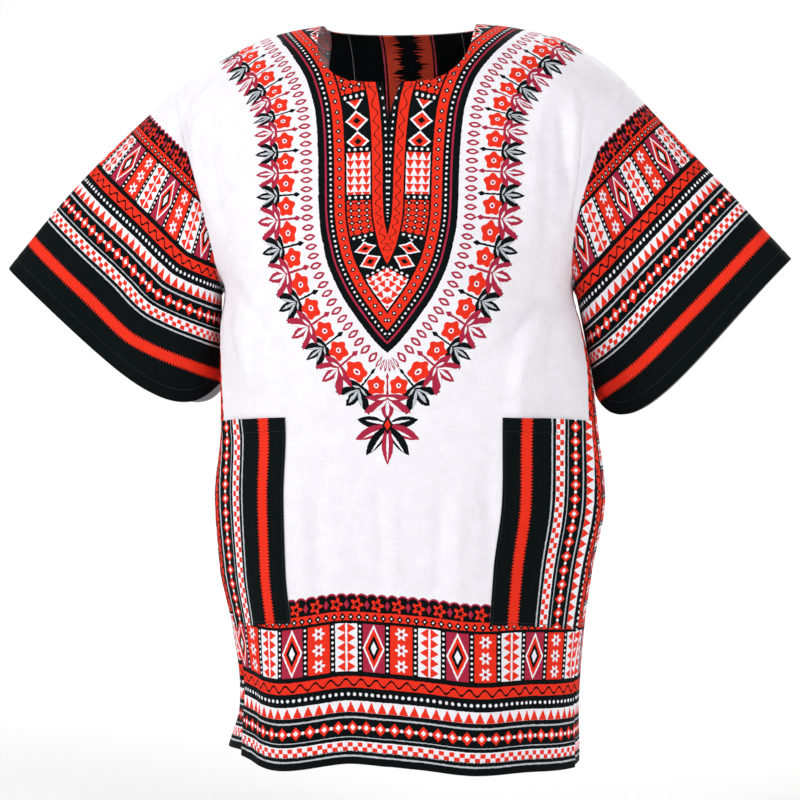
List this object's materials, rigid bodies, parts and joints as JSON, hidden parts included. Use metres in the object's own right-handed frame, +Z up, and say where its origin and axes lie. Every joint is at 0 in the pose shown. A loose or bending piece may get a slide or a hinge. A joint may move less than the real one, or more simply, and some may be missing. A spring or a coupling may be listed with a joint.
{
  "type": "dashiki tunic t-shirt",
  "caption": "Loose pullover tunic with wide short sleeves, a slit neck, patch pockets at the side seams and short side vents, in the hollow form it has when worn.",
  "frame": {"origin": "midway between the two neck points, the high ends of the shoulder seams, where the tunic hangs on its wearer's shoulders", "axes": "+X to the wearer's left, +Y to the back, +Z up"},
  "size_m": [0.787, 0.2591, 0.7356],
  "materials": {
    "printed_cotton": "plain-woven cotton, white with a red and black print",
    "bordered_cotton": "plain-woven cotton, white with a red and black border print",
    "pocket_cotton": "plain-woven cotton, red and black border print",
    "facing_cotton": "plain-woven cotton, black with red stripes"
  },
  "bodies": {
    "root": {"front": "printed_cotton", "back": "printed_cotton", "sleeve_right": "bordered_cotton", "sleeve_left": "bordered_cotton", "pocket_right": "pocket_cotton", "pocket_left": "pocket_cotton", "neck_facing": "facing_cotton"}
  },
  "joints": []
}
